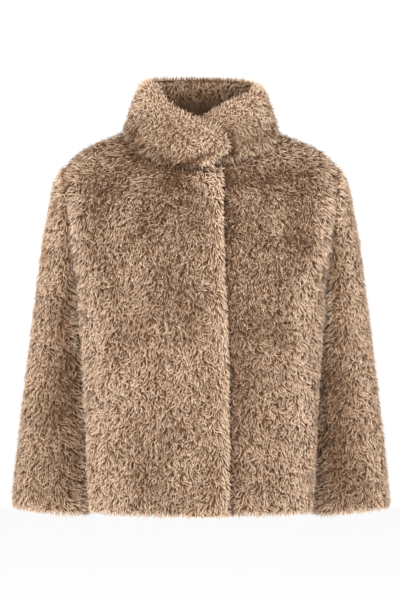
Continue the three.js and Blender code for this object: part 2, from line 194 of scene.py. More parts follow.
class Finish:
    """A material under construction."""

    def __init__(self, name):
        self.material = bpy.data.materials.new(name)
        self.material.use_nodes = True
        self.tree = self.material.node_tree
        self.shader = self.tree.nodes["Principled BSDF"]

    def node(self, kind, output=0, settings=None, inputs=None):
        """Any node: its settings first, then the values or links of its sockets."""
        made = self.tree.nodes.new(kind)
        for key, value in (settings or {}).items():
            if key == "stops":
                self.fill_ramp(made, value)
            else:
                setattr(made, key, value)
        for key, value in (inputs or {}).items():
            self.plug(made.inputs[key], value)
        return Value(self.tree, made.outputs[output])

    def fill_ramp(self, ramp_node, stops):
        """Gives a colour ramp its stops, each a place from 0 to 1 and a colour."""
        elements = ramp_node.color_ramp.elements
        while len(elements) < len(stops):
            elements.new(1)
        for element, (place, colour) in zip(elements, stops):
            element.position = place
            element.color = (*colour, 1)

    def plug(self, slot, value):
        """Links the output of a node to a socket, or sets the socket to a plain value."""
        if isinstance(value, Value):
            self.tree.links.new(value.socket, slot)
        else:
            slot.default_value = value

    def surface(self, **inputs):
        """Sets sockets of the shader, named with underscores for spaces."""
        for key, value in inputs.items():
            self.plug(self.shader.inputs[key.replace("_", " ")], value)
        return self.material


def linear(red, green, blue):
    """A colour as picked from a screen, in the linear numbers that Blender uses."""
    return tuple(
        ((level / 255 + 0.055) / 1.055) ** 2.4 if level > 10 else level / 3294.6
        for level in (red, green, blue)
    )


# %% [markdown]
# ## The finish of the pile
#
# Each strand is warm brown at its root, darker still there as painted shade deep in the pile, taupe
# along most of its length and cream at its tip, painted lighter where the light comes through. No two
# strands are dyed quite alike. Both come from the strand's own UV map: up the map runs the way from
# root to tip, and across it the tone of that strand, which holds its own dye and also the painted
# light and shade of its place on the coat. The map is named OFBake.

# %% Pile materials


def pile_finish(name, root, body, tip):
    """Faux fur pile: three colours along a strand, its root darker as painted shade, and a tone for each
    strand of dye and painted light and shade.
    """
    finish = Finish(name)
    place = finish.node("ShaderNodeUVMap", settings={"uv_map": "OFBake"})
    tone = finish.node("ShaderNodeSeparateXYZ", inputs={0: place})
    along = Value(finish.tree, tone.socket.node.outputs[1])
    stops = [(0.0, root), (0.4, body), (0.8, tip), (1.0, tip)]
    dyed = finish.node("ShaderNodeValToRGB", settings={"stops": stops}, inputs={0: along})
    # The shade ramp turns the tone, with its dye and its painted light and shade, into a brightness.
    shades = [(0.0, linear(108, 88, 70)), (0.5, linear(199, 188, 177)), (1.0, linear(255, 253, 249))]
    shade = finish.node("ShaderNodeValToRGB", settings={"stops": shades}, inputs={0: tone})
    mixed = finish.node(
        "ShaderNodeMix", output=2,
        settings={"data_type": "RGBA", "blend_type": "MULTIPLY"},
        inputs={0: 1.0, 6: dyed, 7: shade},
    )
    print("pile finish:", name)
    return finish.surface(Base_Color=mixed, Roughness=0.85, Specular_IOR_Level=0.15)


# One fur in three copies: the collar's is lighter as painted light, and the roots of the sleeve's and
# collar's are less dark, with less painted shade deep in the pile.
PILE_COLOURS = {
    "body_pile": (linear(84, 51, 26), linear(183, 150, 121), linear(228, 204, 182)),
    "sleeve_pile": (linear(100, 67, 41), linear(184, 151, 122), linear(228, 203, 180)),
    "collar_pile": (linear(134, 101, 73), linear(191, 160, 132), linear(233, 211, 189)),
}
pile_finishes = {slot: pile_finish(slot, *colours) for slot, colours in PILE_COLOURS.items()}

# %% [markdown]
# ## The finish of the cloth
#
# Below the tips the pile is so dense that it reads as felt. That ground is painted in browns darker
# than the strands, as painted shade deep in the pile, with a noise whose streaks are as wide as a
# strand, twisted by a second noise, and the same streaks stand up in its bump. The back of the cloth
# is a plain warp knit with a fine rib. The facing inside the collar is a dark brown satin with a soft
# gloss, broken up by small folds and a fine slanting weave, and made darker still as painted shade
# deep inside the collar.

# %% Cloth materials


def shaded_ground_finish(name, dark, middle, light):
    """The dense lower part of the pile, in three browns darker than the strands, as painted shade."""
    finish = Finish(name)
    place = finish.node("ShaderNodeTexCoord", output=3)
    streaks = finish.node(
        "ShaderNodeTexNoise",
        inputs={"Vector": place, "Scale": 330.0, "Detail": 2.0, "Roughness": 0.6, "Distortion": 2.2},
    )
    clumps = finish.node("ShaderNodeTexNoise", inputs={"Vector": place, "Scale": 90.0, "Detail": 2.0})
    height = streaks * 0.6 + clumps * 0.4
    stops = [(0.36, dark), (0.5, middle), (0.62, light)]
    colour = finish.node("ShaderNodeValToRGB", settings={"stops": stops}, inputs={0: height})
    bump = finish.node("ShaderNodeBump", inputs={"Height": height, "Distance": 0.004, "Strength": 0.9})
    return finish.surface(Base_Color=colour, Roughness=0.95, Normal=bump)


def knit_finish():
    """The inner side of the backing: a warp knit with fine ribs, in two browns."""
    finish = Finish("backing_knit")
    place = finish.node("ShaderNodeTexCoord", output=3)
    ribs = finish.node(
        "ShaderNodeTexWave", output=1,
        settings={"wave_type": "BANDS", "bands_direction": "X"},
        inputs={"Vector": place, "Scale": 420.0, "Distortion": 1.5, "Detail": 1.0},
    )
    cloud = finish.node("ShaderNodeTexNoise", inputs={"Vector": place, "Scale": 30.0, "Detail": 3.0})
    mottled = cloud * 0.7 + ribs * 0.3
    stops = [(0.25, linear(96, 72, 54)), (0.75, linear(118, 92, 71))]
    colour = finish.node("ShaderNodeValToRGB", settings={"stops": stops}, inputs={0: mottled})
    bump = finish.node("ShaderNodeBump", inputs={"Height": ribs, "Distance": 0.0004, "Strength": 0.5})
    return finish.surface(Base_Color=colour, Roughness=0.9, Normal=bump)


def satin_finish():
    """Dark satin, made darker as painted shade inside the collar: soft folds from a cloudy noise, and the
    slanting lines of its weave.
    """
    finish = Finish("neck_satin")
    place = finish.node("ShaderNodeTexCoord", output=3)
    weave = finish.node(
        "ShaderNodeTexWave", output=1,
        settings={"wave_type": "BANDS", "bands_direction": "DIAGONAL"},
        inputs={"Vector": place, "Scale": 600.0, "Distortion": 0.6, "Detail": 0.0},
    )
    cloud = finish.node("ShaderNodeTexNoise", inputs={"Vector": place, "Scale": 45.0, "Detail": 4.0})
    # Dark brown satin, darkened further as painted shade deep inside the collar.
    stops = [(0.3, linear(50, 31, 18)), (0.7, linear(86, 59, 38))]
    colour = finish.node("ShaderNodeValToRGB", settings={"stops": stops}, inputs={0: cloud})
    folds = cloud + weave * 0.2
    bump = finish.node("ShaderNodeBump", inputs={"Height": folds, "Distance": 0.002, "Strength": 0.7})
    return finish.surface(Base_Color=colour, Roughness=0.5, Specular_IOR_Level=0.3, Normal=bump)


# Browns of painted shade deep in the pile; the collar's are lighter, with less painted shade.
BODY_SHADE_BROWNS = (linear(72, 43, 21), linear(102, 69, 42), linear(134, 99, 68))
COLLAR_SHADE_BROWNS = (linear(98, 68, 44), linear(128, 96, 68), linear(158, 124, 94))
dense_ground = shaded_ground_finish("dense_ground", *BODY_SHADE_BROWNS)
collar_ground = shaded_ground_finish("collar_ground", *COLLAR_SHADE_BROWNS)
backing_knit = knit_finish()
neck_satin = satin_finish()
print("cloth finishes:", dense_ground.name, collar_ground.name, backing_knit.name, neck_satin.name)

# %% [markdown]
# ## Where the wearer would be
#
# Each panel goes round a part of the wearer: the trunk, an arm or the neck. The script needs to tell
# the outer face of a wall from its inner face, and the normals alone don't say which is which. So a
# simple core is set where the wearer would be, and what faces away from the core is the outside.

# %% The cores
TRUNK_CORE_HALF = 0.1
TRUNK_CORE_TOP = -0.13
SHOULDER_CORE_HALF = 0.15
SHOULDER_FOOT = -0.16
ARM_CORE = [
    (0.205, 0.0, -0.142),
    (0.222, 0.012, -0.2),
    (0.231, 0.02, -0.3),
    (0.235, 0.023, -0.43),
    (0.247, 0.018, -0.63),
]


def trunk_core(points):
    """The nearest point of the trunk's core: a broad upright sheet, which is broader at the shoulders."""
    core = points.copy()
    core[:, 0] = np.clip(points[:, 0], -TRUNK_CORE_HALF, TRUNK_CORE_HALF)
    core[:, 1] = 0
    core[:, 2] = np.minimum(points[:, 2], TRUNK_CORE_TOP)
    high = points[:, 2] > SHOULDER_FOOT
    core[high, 0] = np.clip(points[high, 0], -SHOULDER_CORE_HALF, SHOULDER_CORE_HALF)
    return core


def arm_core(points):
    """The nearest point of the arm's core, on whichever side of the coat the sleeve is."""
    side = 1.0 if points[:, 0].mean() > 0 else -1.0
    best = np.full(len(points), np.inf)
    core = np.zeros_like(points)
    for start, end in zip(ARM_CORE, ARM_CORE[1:]):
        start = np.array(start) * (side, 1, 1)
        way = np.array(end) * (side, 1, 1) - start
        share = np.clip(((points - start) @ way) / (way @ way), 0, 1)
        near = start + share[:, None] * way
        gap = np.linalg.norm(points - near, axis=1)
        core[gap < best] = near[gap < best]
        best = np.minimum(gap, best)
    return core


def neck_core(points):
    """For the neck, a point of an upright sheet that is a quarter as broad as the collar."""
    return points * (0.25, 0, 1) + (0, -0.005, 0)


def way_out_from(core, points):
    """Directions of length 1 that lead straight away from a core."""
    way = points - core(points)
    return way / (np.linalg.norm(way, axis=1)[:, None] + 1e-9)


# %% [markdown]
# ## From a solid wall to cloth
#
# The wall of each panel is copied, its doubled points are merged and its triangles joined into
# squares, which subdivide smoothly. The solid itself stays as it is, because it is what the coat
# touches things with.

# %% Copy a wall


def edit(piece, *steps):
    """Runs operators on one piece in edit mode, with whatever was selected in code."""
    bpy.ops.object.select_all(action="DESELECT")
    bpy.context.view_layer.objects.active = piece
    piece.select_set(True)
    bpy.ops.object.mode_set(mode="EDIT")
    for operator, options in steps:
        operator(**options)
    bpy.ops.object.mode_set(mode="OBJECT")


def apply_modifier(piece, kind, **settings):
    """Adds a modifier to one piece, sets it and applies it."""
    bpy.ops.object.select_all(action="DESELECT")
    bpy.context.view_layer.objects.active = piece
    piece.select_set(True)
    modifier = piece.modifiers.new(kind.title(), kind)
    for key, value in settings.items():
        setattr(modifier, key, value)
    bpy.ops.object.modifier_apply(modifier=modifier.name)


def copy_wall(node, name):
    """The wall of a panel as a piece of its own, in squares."""
    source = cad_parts[node]
    piece = bpy.data.objects.new(name, source.data.copy())
    bpy.context.collection.objects.link(piece)
    piece.data.materials.clear()
    edit(
        piece,
        (bpy.ops.mesh.select_all, {"action": "SELECT"}),
        (bpy.ops.mesh.remove_doubles, {"threshold": 0.00001}),
        (bpy.ops.mesh.tris_convert_to_quads, {"face_threshold": 0.9, "shape_threshold": 1.2}),
    )
    return piece


def smooth_wall(node, name):
    """The copied wall, subdivided once."""
    wall = copy_wall(node, name)
    apply_modifier(wall, "SUBSURF", levels=1, render_levels=1)
    return wall


# %% Measure a wall


def read_points(piece):
    """The places and the smooth normals of a piece's points."""
    points = piece.data.vertices
    places = np.empty(len(points) * 3)
    normals = np.empty(len(points) * 3)
    points.foreach_get("co", places)
    points.foreach_get("normal", normals)
    return places.reshape(-1, 3), normals.reshape(-1, 3)


def read_faces(piece):
    """The middles, normals and areas of a piece's faces."""
    faces = piece.data.polygons
    middles = np.empty(len(faces) * 3)
    normals = np.empty(len(faces) * 3)
    areas = np.empty(len(faces))
    faces.foreach_get("center", middles)
    faces.foreach_get("normal", normals)
    faces.foreach_get("area", areas)
    return middles.reshape(-1, 3), normals.reshape(-1, 3), areas


def outwardness(piece, core):
    """For each face, 1 where it faces straight out from the core and -1 where it faces straight in."""
    middles, normals, _ = read_faces(piece)
    return (way_out_from(core, middles) * normals).sum(axis=1)


# %% [markdown]
# ## How deep the pile is
#
# The open pile, which stands above the dense ground, is 6.5 mm deep. Where the wall thins towards a
# seam or a turned edge it has to be shorter. So the wall is measured: from a point on its outer face
# a ray goes straight in, until it comes to the other face. The collar has pile on both sides, and
# gives a smaller share of its wall to each. Which faces count as outer, and which are sown, depends
# on how far they face out from the core: 1 is straight out and -1 is straight in.

# %% Look up a wall
PILE_DEPTH = 6.5 * MM
MOST_OF_WALL = 0.48
MOST_OF_COLLAR = 0.3
OUTER_FACES = 0.1
SOWN_FACES = -0.25
RAY_START = 0.4 * MM
RAY_LENGTH = 50 * MM
CREST_WALL = 11 * MM
EDGE_WALL = 2 * MM


class Wall:
    """The wall of a panel, to look up how far a point is from its outer faces."""

    def __init__(self, node, core, both):
        piece = smooth_wall(node, node + "_wall")
        facing = outwardness(piece, core)
        self.piece = piece
        self.sown = np.ones(len(facing), bool) if both else facing > SOWN_FACES
        self.share = MOST_OF_COLLAR if both else MOST_OF_WALL
        places, _ = read_points(piece)
        faces = [tuple(face.vertices) for face in piece.data.polygons]
        chosen = [face for face, out in zip(faces, facing) if both or out > OUTER_FACES]
        self.whole_tree = BVHTree.FromPolygons(places.tolist(), faces)
        self.outer_tree = BVHTree.FromPolygons(places.tolist(), chosen)

    def thickness(self, place, normal):
        """How thick the wall is straight under a point, or a fair guess where the ray finds nothing."""
        start = place - normal * RAY_START
        hit = self.whole_tree.ray_cast(start, -normal, RAY_LENGTH)
        if hit[0]:
            return RAY_START + hit[3]
        return CREST_WALL if normal.z > 0 else EDGE_WALL

    def look_up(self, points):
        """For each point: the nearest outer place, the way out there, its distance, the pile's depth."""
        rows = []
        for point in points:
            place, normal, _, gap = self.outer_tree.find_nearest(Vector(point))
            depth = min(PILE_DEPTH, self.thickness(place, normal) * self.share)
            rows.append((*place, *normal, gap, depth))
        rows = np.array(rows)
        return rows[:, :3], rows[:, 3:6], rows[:, 6], rows[:, 7]


# %% [markdown]
# ## Cloth with its dense ground
#
# The cloth of a panel is its wall, less the open pile. The inner face stays where it is and the
# outer one moves in by the depth of the pile. On the collar, which has pile on both sides, both
# faces move in. At the seams two panels only touch at their rims, and light would come through
# between them, so there the cloth reaches a little past the wall, as the allowance of a real seam
# does.

# %% Make the cloth
SEAM_REACH = 2.5 * MM
SEAM_BAND = 5 * MM
SHOULDER_Z = -0.13
NECK_HALF = 0.05
INNER_FACES = -0.35
NARROW_PILE = 0.8 * PILE_DEPTH
SIDEWAYS = 0.5


def close_shoulder(node, places):
    """At the shoulder seam the cloth goes a little past the seam, so that no light comes through."""
    way = -1 if node == "back" else 1
    across = way * places[:, 1]
    high = (places[:, 2] > SHOULDER_Z) & (np.abs(places[:, 0]) > NECK_HALF)
    edge = high & (across > across[high].max() - SEAM_BAND)
    places[edge, 1] += way * SEAM_REACH


def make_cloth(node, core, wall, both):
    """The cloth of a panel: its wall with the outer face moved in, and a knit on the inner face."""
    cloth = smooth_wall(node, node + "_cloth")
    facing = outwardness(cloth, core)
    places, normals = read_points(cloth)
    nearest, way_out, gap, depth = wall.look_up(places)
    way_out = normals if both else way_out
    shallow = gap < depth
    sunk = nearest - way_out * depth[:, None]
    places[shallow] = sunk[shallow]
    side = normals - way_out * (normals * way_out).sum(axis=1)[:, None]
    narrow = (depth < NARROW_PILE) & (np.linalg.norm(side, axis=1) > SIDEWAYS)
    places[narrow] += side[narrow] * SEAM_REACH
    if core is trunk_core:
        close_shoulder(node, places)
    cloth.data.vertices.foreach_set("co", places.ravel())
    cloth.data.update()
    cloth.data.materials.append(collar_ground if both else dense_ground)
    cloth.data.materials.append(backing_knit)
    inner = np.zeros(len(facing), int) if both else (facing < INNER_FACES).astype(int)
    cloth.data.polygons.foreach_set("material_index", inner)
    cloth.data.polygons.foreach_set("use_smooth", np.ones(len(facing), bool))
    return cloth


# %% [markdown]
# ## Where the strands stand
#
# The outer faces of the wall are sown with points: as many on each face as its area asks for, spread
# by a sequence that fills a square evenly. About one point in three is the middle of a clump, and
# the others join the middle that is nearest. Curly pile looks as it does because of its clumps.

# %% Sow a wall
SPREAD = np.array((0.7548776662, 0.5698402910))
CLUMP_SHARE = 0.33
CLUMP_SPACING = 2.6 * MM


def sow(piece, chosen, spacing, random):
    """Evenly scattered points on the chosen faces, with the normal at each."""
    places, normals = read_points(piece)
    faces = np.array([(*face.vertices, face.vertices[-1])[:4] for face in piece.data.polygons])
    _, _, areas = read_faces(piece)
    wanted = np.where(chosen, areas / spacing**2, 0)
    counts = np.floor(wanted + random.random(len(wanted))).astype(int)
    owner = np.repeat(np.arange(len(counts)), counts)
    number = np.arange(len(owner)) - np.repeat(np.cumsum(counts) - counts, counts)
    start = random.random((len(counts), 2))[owner]
    across, up = ((start + number[:, None] * SPREAD) % 1).T[:, :, None]
    weights = ((1 - across) * (1 - up), across * (1 - up), across * up, (1 - across) * up)
    points = sum(weight * places[faces[owner, corner]] for corner, weight in enumerate(weights))
    ways = sum(weight * normals[faces[owner, corner]] for corner, weight in enumerate(weights))
    return points, ways / np.linalg.norm(ways, axis=1)[:, None]


def gather(points, spacing, random):
    """The clump that each point belongs to: some of the points are middles, the rest join the nearest."""
    share = min(1.0, CLUMP_SHARE * (spacing / CLUMP_SPACING) ** 2)
    middles = np.flatnonzero(random.random(len(points)) < share)
    tree = KDTree(len(middles))
    for i, chosen in enumerate(middles):
        tree.insert(points[chosen], i)
    tree.balance()
    return np.array([tree.find(point)[1] for point in points]), middles


# %% [markdown]
# ## Soft changes from place to place
#
# On real fur nothing changes at a line. What differs between one place and another is written with
# a ramp from 0 to 1, a bell that is 1 at its middle, a spot made of two bells, and waves that add up
# to a smooth uneven field.

# %% Ramp, bell, spot and waves
FULL_TURN = 6.3


def ramp(values, start, end):
    """0 up to the start and 1 from the end on, with a straight line between. It may run downwards."""
    return np.clip((values - start) / (end - start), 0, 1)


def bell(values, middle, width):
    """1 at the middle, falling softly to 0 on both sides of it."""
    return np.exp(-(((values - middle) / width) ** 2))


def spot(points, x, z, wide, high):
    """1 at a place on the front or back, falling softly to 0 round it."""
    return bell(points[:, 0], x, wide) * bell(points[:, 2], z, high)


def waves(points, length, random, count=6):
    """A smooth uneven field, mostly between -1 and 1, made of waves of about one length."""
    total = np.zeros(len(points))
    for _ in range(count):
        way = random.normal(size=3)
        way *= 2 * math.pi / length / np.linalg.norm(way) * random.uniform(0.7, 1.5)
        total += np.sin(points @ way + random.uniform(0, FULL_TURN))
    return total / math.sqrt(count)


# %% [markdown]
# ## How a strand grows
#
# A strand comes out of the ground, bends over and lies along the coat, mostly downwards, while it
# curls to one side. Strands of a clump curl together and lean towards each other at their tips, and
# neighbouring clumps lie nearly alike, so the lie of the pile turns slowly from place to place. A
# strand is a narrow ribbon of seven points: far fewer faces than a round hair, and from here nobody
# can tell them apart. The ribbon is built in steps, each with its length, its rise and its width.
# About one strand in seven is a stray, which rises higher than the rest.

# %% Strand shape
STEP_LENGTH = np.array((2.6, 3.6, 3.8)) * MM
RISE = np.array((0.8, 0.26, 0.0))
HALF_WIDTH = np.array((0.5, 0.58, 0.42)) * MM
STEPS = len(STEP_LENGTH)
STRAYS = 0.14
ROOT = 0.8 * MM
DEEP_ROOT = 5 * MM
MEET = 0.08
MEET_SHARES = np.array((0, 0.25, 0.8, 1.0))[:, None]
MEET_REACH = 6 * MM


def flatten(ways, normals):
    """Directions laid flat on the surface, with length 1."""
    flat = ways - normals * (ways * normals).sum(axis=1)[:, None]
    return flat / (np.linalg.norm(flat, axis=1)[:, None] + 1e-9)


def turns(strands, random):
    """How far each strand is turned from its lie, and by how much more it turns at each step."""
    middles = strands.points[strands.middles]
    swirl = 0.28 * waves(middles, 0.05, random) + 0.3 * waves(middles, 0.014, random)
    shared = swirl + random.normal(scale=0.26, size=len(middles))
    turn = shared[strands.clump] + random.normal(scale=0.4, size=strands.count)
    side = np.sign(waves(middles, 0.022, random) + random.normal(scale=0.7, size=len(middles)))
    curl = side * random.uniform(0.15, 0.6, len(middles))
    bend = curl[strands.clump] * random.uniform(0.5, 1.5, strands.count)
    free = 1 - 0.6 * strands.calm
    return turn * free, bend * free


def sizes(strands, stand, random):
    """How long each strand is, how high it rises, and how far below its top it starts."""
    reach, depth = strands.reach[:, None], strands.depth[:, None]
    stray = random.random((strands.count, 1)) < STRAYS
    length = random.uniform(0.78, 1.2, (strands.count, 1)) * reach * (1 - (0.6 - 0.5 * stray) * stand)
    rise = random.uniform(0.72, 1.12, (strands.count, 1)) + 0.35 * stray * (1 - stand)
    rise = np.maximum(depth, 0.9 * PILE_DEPTH) * rise * (1 - 0.25 * stand) * (0.65 + 0.35 * reach)
    sink = depth + ROOT + stand * np.clip(DEEP_ROOT - depth, 0, None)
    return length, rise, sink


def draw_together(path, strands):
    """The strands of a clump lean towards its middle one, most of all at their tips."""
    together = path[strands.middles][strands.clump]
    gap = np.linalg.norm(together - path, axis=2, keepdims=True)
    pull = MEET * MEET_SHARES * np.clip(MEET_REACH / (gap + 1e-9), 0, 1)
    return path + (together - path) * pull


# %% Grow strands into one mesh
STRAND_POINTS = 7
STRAND_FACES = np.array((0, 1, 3, 2, 2, 3, 5, 4, 4, 5, 6))
FACE_STARTS = (0, 4, 8)
UP_THE_MAP = np.array((0, 0, 0.35, 0.35, 0.72, 0.72, 1.0))
ACROSS_THE_MAP = np.array((-1, 1, -1, 1, -1, 1, 0)) * 0.03


def strand_mesh(name, places, tones):
    """Ribbons of seven points each as a mesh: two squares and a pointed tip."""
    count = len(places)
    numbers = np.arange(count)[:, None]
    loops = (numbers * STRAND_POINTS + STRAND_FACES).ravel()
    starts = (numbers * len(STRAND_FACES) + FACE_STARTS).ravel()
    mesh = bpy.data.meshes.new(name)
    mesh.vertices.add(count * STRAND_POINTS)
    mesh.vertices.foreach_set("co", places.ravel())
    mesh.loops.add(len(loops))
    mesh.loops.foreach_set("vertex_index", loops)
    mesh.polygons.add(len(starts))
    mesh.polygons.foreach_set("loop_start", starts)
    mesh.polygons.foreach_set("use_smooth", np.ones(len(starts), bool))
    mesh.update(calc_edges=True)
    uv = np.empty((count, len(STRAND_FACES), 2))
    uv[:, :, 0] = np.clip(tones[:, None] * 0.9 + 0.05 + ACROSS_THE_MAP[STRAND_FACES], 0.01, 0.99)
    uv[:, :, 1] = 0.01 + 0.98 * UP_THE_MAP[STRAND_FACES]
    mesh.uv_layers.new(name="OFBake").data.foreach_set("uv", uv.ravel())
    piece = bpy.data.objects.new(name, mesh)
    bpy.context.collection.objects.link(piece)
    return piece


def grow(name, strands, random):
    """One mesh of strands, which start in the ground and go step by step along their lie."""
    normals, lie = strands.normals, strands.lie
    along = flatten(lie, normals)
    aside = np.cross(normals, along)
    stand = (lie * normals).sum(axis=1) / (np.linalg.norm(lie, axis=1) + 1e-9)
    stand = np.clip(stand, 0, 1)[:, None]
    turn, bend = turns(strands, random)
    length, rise, sink = sizes(strands, stand, random)
    roll = random.normal(scale=0.5, size=(strands.count, 1))
    path = [strands.points - normals * sink]
    broads = []
    for step in range(STEPS):
        angle = (turn + bend * step)[:, None]
        flat = along * np.cos(angle) + aside * np.sin(angle)
        heading = flat * np.sqrt(1 - stand**2) + normals * stand
        across = aside * np.cos(angle) - along * np.sin(angle)
        broads.append(across * np.cos(roll) + normals * np.sin(roll))
        path.append(path[-1] + heading * STEP_LENGTH[step] * length + normals * RISE[step] * rise)
    path = draw_together(np.stack(path, axis=1), strands)
    rows = []
    for step in range(STEPS):
        half = broads[step] * HALF_WIDTH[step]
        rows += [path[:, step] - half, path[:, step] + half]
    return strand_mesh(name, np.stack(rows + [path[:, STEPS]], axis=1), strands.tone)


# %% [markdown]
# ## Landmarks of the coat
#
# How the pile lies, and the painted light and shade that it gets, depend on where it grows. The
# landmarks are the neckline, the free edge of the right front, which laps over the left one, the hem,
# and the free edges of the two ends of the collar. The ends lap over each other in front of the
# throat, the right one on top.
# The corners of their edges are written in millimetres across and up.

# %% Neckline, edges and laps
NECKLINE_Z = 9 * MM
FRONT_SLOPE = 0.66
BACK_SLOPE = 0.2
COLLAR_FOOT = 25 * MM
COLLAR_FRONT_Y = -30 * MM
COLLAR_SIDE_X = 85 * MM
COLLAR_BACK_Y = 50 * MM
EDGE_TOP = (33 * MM, -40 * MM)
EDGE_HEM = (44 * MM, -607 * MM)
HEM = EDGE_HEM[1]
# Width of the bands of painted highlight along the free edge and the hem.
EDGE_BAND = 13 * MM
RIM_MIDDLE = -4 * MM
LAP_EDGE = [
    (-70, 88), (-61, 68), (-50, 50), (-30, 36), (-16, 29), (-4, 22), (6, 16),
    (15, 12), (25, 6), (34, -4), (40, -16), (42, -28), (40, -45),
]
LOWER_EDGE = [(12, 33), (18, 36), (39, 48), (63, 60), (79, 68)]
LOWER_LAP_FACE_Y = -69.5 * MM
LAP_SLOPE = 0.3
LAP_TURN_X = 45 * MM
LAP_GAP = 6 * MM
LAP_START_X = -16 * MM


def neck_height(points):
    """The height of the neckline, which slopes down towards the front."""
    y = points[:, 1]
    return NECKLINE_Z + FRONT_SLOPE * np.minimum(y, 0) + BACK_SLOPE * np.maximum(y, 0)


def collar_foot(points):
    """1 along the seam of the collar, falling to 0 above it."""
    return ramp(points[:, 2] - neck_height(points), COLLAR_FOOT, 0)


def inwardness(points, normals):
    """1 where the collar faces the neck, -1 where it faces away from it."""
    return -(normals * (points * (1, 1, 0))).sum(axis=1) / (np.linalg.norm(points[:, :2], axis=1) + 1e-9)


def beyond_edge(points):
    """How far a point is past the free edge of the right front, towards the left front."""
    share = (points[:, 2] - EDGE_TOP[1]) / (EDGE_HEM[1] - EDGE_TOP[1])
    return points[:, 0] - (EDGE_TOP[0] + share * (EDGE_HEM[0] - EDGE_TOP[0]))


def rim(points):
    """1 in the band along the free edge of the right front, combed calm and given a painted highlight,
    falling softly to 0 beside it.
    """
    return bell(beyond_edge(points), RIM_MIDDLE, EDGE_BAND)


def past_line(points, corners):
    """How far a point is past a line of corners across and up the front, to the right of its way down."""
    corners = np.array(corners) * MM
    best = np.full(len(points), np.inf)
    past = np.zeros(len(points))
    flat = points[:, [0, 2]]
    for start, end in zip(corners, corners[1:]):
        way = end - start
        share = np.clip(((flat - start) @ way) / (way @ way), 0, 1)
        gap = flat - start - share[:, None] * way
        distance = np.linalg.norm(gap, axis=1)
        side = np.sign(gap[:, 1] * way[0] - gap[:, 0] * way[1])
        past[distance < best] = (side * distance)[distance < best]
        best = np.minimum(distance, best)
    return past


def over_lap(points):
    """True on the upper lap of the collar, which stands in front of the lower one."""
    x, y, z = points.T
    lower = LOWER_LAP_FACE_Y + LAP_SLOPE * z + LAP_SLOPE * np.maximum(x - LAP_TURN_X, 0)
    return (y < lower - LAP_GAP) | (x < LAP_START_X)


# %% [markdown]
# ## Where the collar is painted lighter and darker
#
# The free edge and the rounded end of the upper lap are brushed out, and get a painted highlight
# where they catch the light. Under the end, in the crease that runs up to it, along part of the foot
# in front and inside the collar, the pile gets painted shadow; the crest and other parts of the foot
# get painted light. The tone of the strands helps the lamp here, because the shadows between single
# hairs are finer than the strands can make them.

# %% Tone of the collar
CREASE_Z = -38 * MM
CREASE_SLOPE = 0.42
UPPER_LAP_Y = 30 * MM
LOWER_LAP_Y = -20 * MM
SHADOW_TOP = 92 * MM
SHADOW_FOOT = 52 * MM
CLOSING_X = 22 * MM


def crease_tone(points):
    """The crease that runs up to the collar's end: painted shadow along it, and painted light right below
    it.
    """
    x, _, z = points.T
    height = z - CREASE_Z - CREASE_SLOPE * x
    within = ramp(x, 27 * MM, 21 * MM) * ramp(x, -40 * MM, -25 * MM)
    below = ramp(height, -4.8 * MM, -10.8 * MM) * (x > 0)
    return within * (0.5 * below - 0.8 * bell(height, 0, 4.5 * MM))


def lap_tone(points, front):
    """Painted highlight round the end of the upper lap and along the lower lap's edge, and painted shadow
    between them.
    """
    _, y, z = points.T
    past = past_line(points, LAP_EDGE)
    end = 0.9 * bell(past, 0, 8 * MM)
    under = -0.95 * np.exp(-np.clip(past - 10 * MM, 0, None) / (7 * MM)) * (past > -10 * MM)
    under *= ramp(z, CREASE_Z, CREASE_Z + 10 * MM)
    edge = 0.9 * bell(past_line(points, LOWER_EDGE), 0, 4.5 * MM) * (y < LOWER_LAP_Y)
    return np.where(over_lap(points), end * (y < UPPER_LAP_Y), front * under + edge)


def collar_tone(points, normals):
    """Painted shade inside and low down in front, painted light along the crest, round the laps and at
    the foot.
    """
    x, y, z = points.T
    inside = ramp(inwardness(points, normals), 0.15, 0.65)
    front = (y < COLLAR_FRONT_Y) * (1 - inside)
    tone = -(0.12 + 0.85 * ramp(z, SHADOW_TOP, SHADOW_FOOT)) * inside
    tone += lap_tone(points, front) - 0.08 * ramp(-x, 0, 40 * MM) * front
    # Painted shadow at the foot under the upper lap, and painted light at the foot beside it and at the
    # side.
    foot = np.where(x > CLOSING_X, 0.5, -0.35 * ramp(x, 8 * MM, -12 * MM)) * front
    foot += 0.45 * (x > COLLAR_SIDE_X) * (y < COLLAR_BACK_Y) * (1 - front)
    tone += foot * collar_foot(points) + crease_tone(points) * front * over_lap(points)
    crest = np.clip(normals[:, 2] * 2.2 - 0.4, 0, 1) * (1 - inside)
    return tone + 0.68 * crest * (y < COLLAR_BACK_Y)


# %% [markdown]
# ## Where the body and sleeves are painted lighter and darker
#
# The turned edge of the right front is brushed out, and it, the hem and the cuffs get a painted
# highlight. The sides of the body, the lower right front, the outer sides of the sleeves, the sleeve
# heads and the sleeves deep beside the body get painted light as well. The soft folds in front of the
# armholes, the chest, and the fronts below the collar and beside the closing get painted shade.
# Single places of painted light or shade are kept in lists, as the strength, the place across, the
# height, and the reach across and up.

# %% Tone of the body and sleeves
# Spots of painted light at the armholes, and of painted shade in the folds and on the chest.
BOTH_FRONTS = [
    (0.5, 0.208, -0.085, 0.028, 0.045),
    (0.2, -0.208, -0.075, 0.016, 0.035),
    (-0.2, -0.14, -0.1, 0.045, 0.06),
    (-0.2, 0.137, -0.11, 0.045, 0.07),
]
RIGHT_FRONT = [
    (-0.1, -0.1, -0.12, 0.05, 0.06),
    (-0.16, -0.163, -0.112, 0.016, 0.05),
    (-0.2, -0.02, -0.13, 0.05, 0.05),
]
LEFT_FRONT = [(-0.16, 0.155, -0.11, 0.014, 0.055)]
